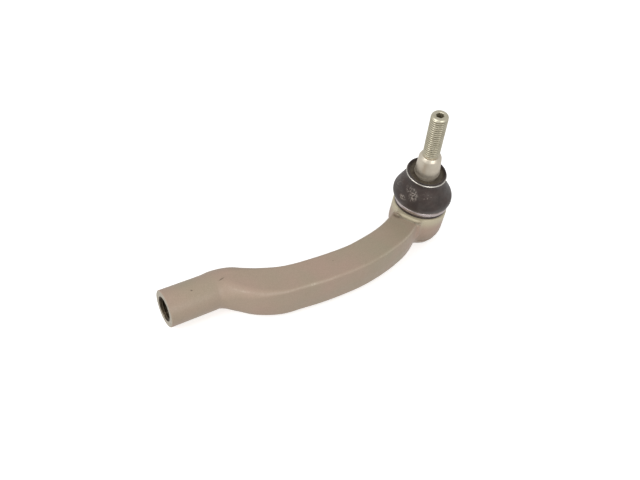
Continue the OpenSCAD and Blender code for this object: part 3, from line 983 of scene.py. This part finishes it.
# Outer outline from the lower bead to the upper lip, then down the dish to the seal on the stud.
BOOT_OUTSIDE = [
    (BAND_R - 0.3, SHOULDER_Z + 0.2), (BAND_R + 0.15, SHOULDER_Z + 0.5), (BAND_R + 0.1, BAND_LOW - 0.5),
    (BAND_R - 0.1, BAND_LOW - 0.1), (BAND_R - 0.1, BEAD_TOP), (BAND_R + 0.5, BEAD_TOP + 0.1),
    (BAND_R + 1.05, BEAD_TOP + 0.45), (BAND_R + 1.15, BEAD_TOP + 0.85), (BAND_R + 0.85, BEAD_TOP + 1.15),
    (BAND_R + 1.25, BEAD_TOP + 1.5), (BAND_R + 1.45, BEAD_TOP + 1.9), (BAND_R + 1.3, BEAD_TOP + 2.25),
    (BAND_R + 1.75, BEAD_TOP + 2.8), (BOOT_R - 0.4, 14.9), (BOOT_R, 17.5), (BOOT_R - 0.35, 21),
    (20.4, 24.5), (18.6, 28), (16.9, 31.5), (15.1, 34.8), (14.3, 36.9), (14.1, 38.4), (14.0, 39.3),
    (13.7, 39.65), (13.65, 40.2), (13.7, 40.75), (14.1, 41.05), (14.42, 41.35), (14.38, 41.75),
    (14.0, 42.0), (13.5, 41.8), (13.0, 41.0), (12.4, 40.0), (11.4, 39.3), (9.8, 38.9), (8.6, 38.8),
    (SEAL_R + 0.2, 38.6),
]
BOOT_INSIDE = [
    (SEAL_R + 0.2, 35.2), (9.6, 34.8), (11.6, 35.2), (12.9, 34.2), (14.9, 31.0), (16.6, 27.6),
    (18.4, 24.1), (BOOT_R - 2.4, 20.7), (BOOT_R - 2.1, 17.6), (BOOT_R - 2.9, 15.0),
    (BOOT_SEAT_R + 0.6, 12.8), (BOOT_SEAT_R + 0.25, 11.4), (BOOT_SEAT_R + 0.25, SHOULDER_Z + 0.2),
]


def smooth_outline(points, steps):
    """A dense curve through the points, with centripetal spacing so that it never loops."""
    p = np.array(points, float)
    p = np.vstack([2 * p[0] - p[1], p, 2 * p[-1] - p[-2]])
    made = []
    for i in range(1, len(p) - 2):
        knots = np.cumsum([0] + [np.linalg.norm(p[j + 1] - p[j]) ** 0.5 for j in range(i - 1, i + 2)])
        for t in np.linspace(knots[1], knots[2], steps, endpoint=False):
            a = [(knots[j + 1] - t) / (knots[j + 1] - knots[j]) * p[i - 1 + j]
                 + (t - knots[j]) / (knots[j + 1] - knots[j]) * p[i + j] for j in range(3)]
            b = [(knots[j + 2] - t) / (knots[j + 2] - knots[j]) * a[j]
                 + (t - knots[j]) / (knots[j + 2] - knots[j]) * a[j + 1] for j in range(2)]
            share = (t - knots[1]) / (knots[2] - knots[1])
            made.append((1 - share) * b[0] + share * b[1])
    made.append(p[-2])
    return np.array(made)


def lean_share(height):
    """How much of the stud's lean the boot has taken up at a height above the ball centre."""
    t = np.clip((height - BEAD_TOP) / 22, 0, 1)
    return 1 - (1 - t) ** 2.2


def boot_grid(outline, sides):
    """Leaned rings of the turned boot outline, as [point of the outline, side, xyz]. Towards the top
    the rings tilt against the stud, and the belly hangs out on the pressed side."""
    angles = np.arange(sides) * 2 * math.pi / sides
    r, z = outline[:, 0][:, None], outline[:, 1][:, None]
    x, y = r * np.cos(angles), r * np.sin(angles)
    slope = smoothstep(14, 38, z)
    swell = np.clip(np.sin((z - BEAD_TOP) / 30 * math.pi), 0, 1) * smoothstep(9, 14, r)
    z = z + slope * (RING_SLOPE[0] * x + RING_SLOPE[1] * y)
    x = x - BELLY_SHIFT * swell
    share = lean_share(outline[:, 1])[:, None]
    ay, ax = LEAN_Y * share, LEAN_X * share
    x, z = x * np.cos(ay) + z * np.sin(ay), z * np.cos(ay) - x * np.sin(ay)
    y, z = y * np.cos(ax) - z * np.sin(ax), y * np.sin(ax) + z * np.cos(ax)
    return np.stack([x, y, z], 2)


def vertex_normals(grid):
    """Outward normals of a closed grid of rings, from its neighbours."""
    along = np.roll(grid, -1, 0) - np.roll(grid, 1, 0)
    around = np.roll(grid, -1, 1) - np.roll(grid, 1, 1)
    normals = np.cross(around, along)
    return normals / np.linalg.norm(normals, axis=2, keepdims=True)


def wall_row(outline, height):
    """The number of the outline's point nearest to a height, on the wide part of the wall."""
    return int(np.argmin(np.abs(outline[:, 1] - height) + (outline[:, 0] < 15) * 99))


def build_boot():
    """The boot in two meshes, split across its wall at BOOT_SPLIT, with shared normals so that the split
    doesn't show."""
    sides = 160
    outside = smooth_outline(BOOT_OUTSIDE, 5)
    inside = smooth_outline(BOOT_INSIDE, 3)
    split_out = wall_row(outside, BOOT_SPLIT)
    split_in = wall_row(inside, BOOT_SPLIT) + len(outside)
    outline = np.vstack([outside, inside])
    grid = boot_grid(outline, sides)
    normals = vertex_normals(grid)
    radius, height = outline[:, 0], outline[:, 1]
    # fold: the ridge above the band, lightened in the material partly for scuffs and partly as a painted
    # highlight.
    fold = smoothstep(BEAD_TOP + 4.0, BEAD_TOP + 2.6, height) * (radius > BAND_R)
    fold = fold * smoothstep(BEAD_TOP, BEAD_TOP + 0.4, height)
    dish = smoothstep(13.3, 12.2, radius) * smoothstep(38.0, 38.6, height)
    count = len(outline)
    lower_rows = list(range(split_in, count)) + list(range(0, split_out + 1))
    upper_rows = list(range(split_out, split_in + 1))
    look = boot_rubber().material
    pieces = []
    for name, rows in (("dust_boot_lower", lower_rows), ("dust_boot_upper", upper_rows)):
        piece = bpy.data.objects.new(name, bpy.data.meshes.new(name))
        bpy.context.scene.collection.objects.link(piece)
        points = grid[rows].reshape(-1, 3)
        faces = ring_faces(len(rows), sides, closed=True)
        piece.data.from_pydata((points * MM).tolist(), [], faces)
        store(piece.data, "fold", np.repeat(fold[rows], sides))
        store(piece.data, "dish", np.repeat(dish[rows], sides))
        piece.data.polygons.foreach_set("use_smooth", [True] * len(piece.data.polygons))
        set_normals(piece.data, normals[rows].reshape(-1, 3), len(faces) - sides)
        pieces.append(finish_piece(piece, None, "boot_rubber", look, replaces=["dust_boot"]))
    lower, upper = pieces
    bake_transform(lower)
    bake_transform(upper)
    return pieces


def set_normals(mesh, normals, cap_start):
    """Gives the wall's corners the whole boot's normals; the cap that closes the cut stays flat."""
    corners = np.zeros((len(mesh.loops), 3), np.float32)
    vertex = np.zeros(len(mesh.loops), int)
    mesh.loops.foreach_get("vertex_index", vertex)
    corners[:] = normals[vertex]
    for face in mesh.polygons[cap_start:]:
        for corner in face.loop_indices:
            corners[corner] = face.normal
    mesh.normals_split_custom_set([tuple(n) for n in corners.tolist()])


# ---------------------------------------------------------------- rings, cover and inner pieces

def build_band():
    """Flat strip with rounded edges and a slight crown."""
    inner, outer = BAND_R, box_mm("lower_band")[1][0]
    middle = (BAND_LOW + BAND_HIGH) / 2
    profile = rounded([
        (inner, BAND_LOW), (outer - 0.55, BAND_LOW), (outer - 0.1, middle - 0.6), (outer, middle + 0.6),
        (outer - 0.2, BAND_HIGH), (inner, BAND_HIGH),
    ], [0.2, 0.4, 0.6, 0.5, 0.4, 0.2], closed=True)
    points, faces = turned(profile, 160, closed=True)
    band = soften(make_object("lower_band_strip", points, faces), 50)
    look = plain_metal("band_steel").material
    return finish_piece(band, "socket", "band_steel", look, replaces=["lower_band"])


def build_ring():
    """Wire bent into a ring; its two ends nearly meet at the back."""
    sides, stations = 20, 150
    gap = math.radians(1.6)
    back = math.radians(75)
    around = np.linspace(back + gap, back + 2 * math.pi - gap, stations)
    angles = np.arange(sides) * 2 * math.pi / sides
    rings = []
    for i, a in enumerate(around):
        end = min(i, stations - 1 - i)
        wire = RING_WIRE * (0.75 if end == 0 else 1.0)
        r = RING_R + wire * np.cos(angles)
        x, y = r * math.cos(a), r * math.sin(a)
        z = RING_Z + wire * np.sin(angles) + RING_SLOPE[0] * x + RING_SLOPE[1] * y
        rings.append(np.stack([x, y, z], 1))
    faces = ring_faces(stations, sides, closed=False)
    faces.append(tuple(range(sides))[::-1])
    faces.append(tuple(range((stations - 1) * sides, stations * sides)))
    ring = soften(make_object("upper_ring_wire", np.concatenate(rings), faces, LEAN), 60)
    look = plain_metal("wire_steel").material
    return finish_piece(ring, "boot_neck", "wire_steel", look, replaces=["upper_ring"])


def build_cover():
    """Pressed plate with a shallow dome and a turned-down rim."""
    profile = rounded([
        (0, COVER_HIGH), (COVER_R - 0.1, COVER_HIGH), (COVER_R, COVER_HIGH - 0.3),
        (COVER_R, COVER_LOW + 1.0), (COVER_R - 0.3, COVER_LOW + 0.82), (11.0, COVER_LOW + 0.8),
        (9.6, COVER_LOW), (3.0, COVER_LOW), (2.2, COVER_LOW + 0.35), (0, COVER_LOW + 0.35),
    ], [0, 0.3, 0.2, 0.2, 0.2, 0.9, 0.9, 0.5, 0.5, 0])
    points, faces = turned(profile, 128)
    cover = soften(make_object("cover_plate_pressed", points, faces), 50)
    return finish_piece(cover, "socket", "cover_steel", cover_steel().material, replaces=["cover_plate"])


def dress_cad_nodes():
    """The bearing halves and the spring keep their CAD shape and get their own materials."""
    plastic, spring = bearing_plastic().material, plain_metal("spring_steel").material
    inner = (("upper_bearing", plastic), ("lower_bearing", plastic), ("preload_spring", spring))
    for node, look in inner:
        piece = frame["nodes"][node]
        piece.data.materials.clear()
        piece.data.materials.append(look)


# ---------------------------------------------------------------- stage, light and camera

# The light tent's strength from below and from above, and the share left on its dim side.
TENT_LOW, TENT_HIGH, TENT_DIM = 0.72, 0.58, 0.85
TENT_DIM_SIDE = (-0.72, -0.58, -0.38)
TENT_WHITE = (1.0, 0.995, 0.985, 1)
FLOOR_GLOW = 0.50
FLOOR_HALF = 4.0
BOX_SIZE = 0.5


def build_stage():
    """Plain pale floor just under the part, a white surround and two soft lights."""
    floor_z = SOCKET_BOTTOM - 0.05
    bm = bmesh.new()
    bmesh.ops.create_grid(bm, x_segments=4, y_segments=4, size=FLOOR_HALF)
    mesh = bpy.data.meshes.new("floor")
    bm.to_mesh(mesh)
    bm.free()
    floor = bpy.data.objects.new("floor", mesh)
    floor.location.z = floor_z * MM
    bpy.context.scene.collection.objects.link(floor)
    look = Look("floor_paper")
    look.set(Base_Color=(0.9, 0.9, 0.9, 1), Roughness=0.9, Specular_IOR_Level=0.1,
             Emission_Color=(1, 1, 1, 1), Emission_Strength=FLOOR_GLOW)
    mesh.materials.append(look.material)
    floor.visible_diffuse = False
    floor.visible_glossy = False

    build_surround()
    add_area("left_box", (-0.78, 0.05, 0.52), BOX_SIZE, 3.0)
    add_area("right_box", (-0.22, -0.80, 0.45), BOX_SIZE, 2.6)


def build_surround():
    """A white light tent, a little stronger from below and weaker from one low side. The camera
    itself sees plain white beyond the floor."""
    world = bpy.data.worlds.new("light_tent")
    world.use_nodes = True
    tent = Nodes(world.node_tree)
    direction = tent.node("ShaderNodeTexCoord").outputs["Generated"]
    up = tent.split(direction)[2]
    facing = tent.node("ShaderNodeVectorMath", operation="DOT_PRODUCT")
    tent.feed(facing.inputs[0], direction)
    tent.feed(facing.inputs[1], TENT_DIM_SIDE)
    by_height = tent.span(up, -0.6, 0.5, TENT_LOW, TENT_HIGH, smooth=True)
    by_side = tent.span(facing.outputs["Value"], 0.45, 1.0, 1.0, TENT_DIM, smooth=True)
    seen = tent.node("ShaderNodeLightPath").outputs["Is Camera Ray"]
    strength = tent.calc("MAXIMUM", tent.calc("MULTIPLY", by_height, by_side), seen)
    background = tent.tree.nodes["Background"]
    tent.feed(background.inputs["Strength"], strength)
    tent.feed(background.inputs["Color"], TENT_WHITE)
    bpy.context.scene.world = world


def add_area(name, place, size, power):
    """A square soft light aimed at the middle of the part."""
    light = bpy.data.lights.new(name, "AREA")
    light.shape = "SQUARE"
    light.size = size
    light.energy = power
    lamp = bpy.data.objects.new(name, light)
    lamp.location = place
    middle = (cad_low + cad_high) / 2
    lamp.rotation_euler = (Vector(place) - middle).to_track_quat("Z", "Y").to_euler()
    bpy.context.scene.collection.objects.link(lamp)


def build_camera():
    """Camera high in front of the boss end, at the viewing angle of the picture."""
    data = bpy.data.cameras.new("camera")
    data.sensor_width = 36.0
    data.lens = 33.75
    data.clip_start, data.clip_end = 0.01, 20
    camera = bpy.data.objects.new("camera", data)
    camera.location = (-0.2961, -0.2331, 0.2876)
    camera.rotation_euler = Euler([math.radians(a) for a in (46.96, -7.75, -33.82)], "XYZ")
    bpy.context.scene.collection.objects.link(camera)
    bpy.context.scene.camera = camera


build_arm()
build_stud()
build_boot()
build_band()
build_ring()
build_cover()
dress_cad_nodes()
build_stage()
build_camera()
bpy.context.scene.view_settings.view_transform = "Standard"
